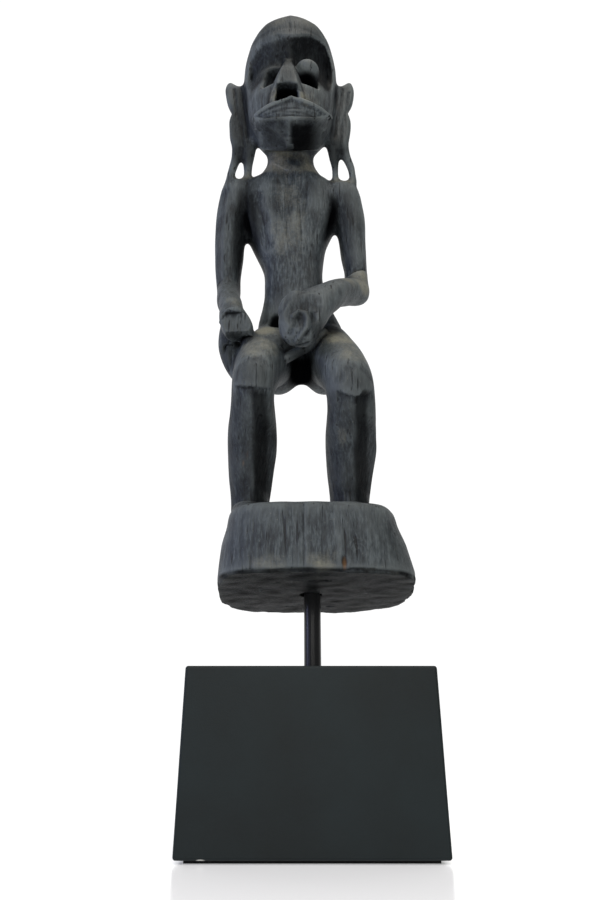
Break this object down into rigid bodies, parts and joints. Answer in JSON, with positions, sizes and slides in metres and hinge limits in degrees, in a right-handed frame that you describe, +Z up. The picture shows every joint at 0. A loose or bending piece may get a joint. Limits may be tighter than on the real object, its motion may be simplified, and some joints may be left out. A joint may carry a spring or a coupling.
{
  "type": "dayak statue",
  "caption": "Blackened hardwood ancestor figure of a Dayak type, knees bent and one arm across the belly, on a steel rod in a black block.",
  "frame": {"origin": "middle of the stand's underside, on the surface that it stands on", "axes": "+Z up, along the figure's height; the figure looks along -Y; +X is the viewer's right"},
  "size_m": [0.1601, 0.1524, 0.7112],
  "materials": {
    "hardwood": "blackened hardwood, dry and worn, with ochre dust in the creases",
    "rod_steel": "satin black steel",
    "block_paint": "solid wood block in matt black paint",
    "felt": "black felt"
  },
  "bodies": {
    "root": {"dayak_figure": "hardwood", "mounting_rod": "rod_steel", "black_block": "block_paint", "felt_pad": "felt"}
  },
  "joints": []
}
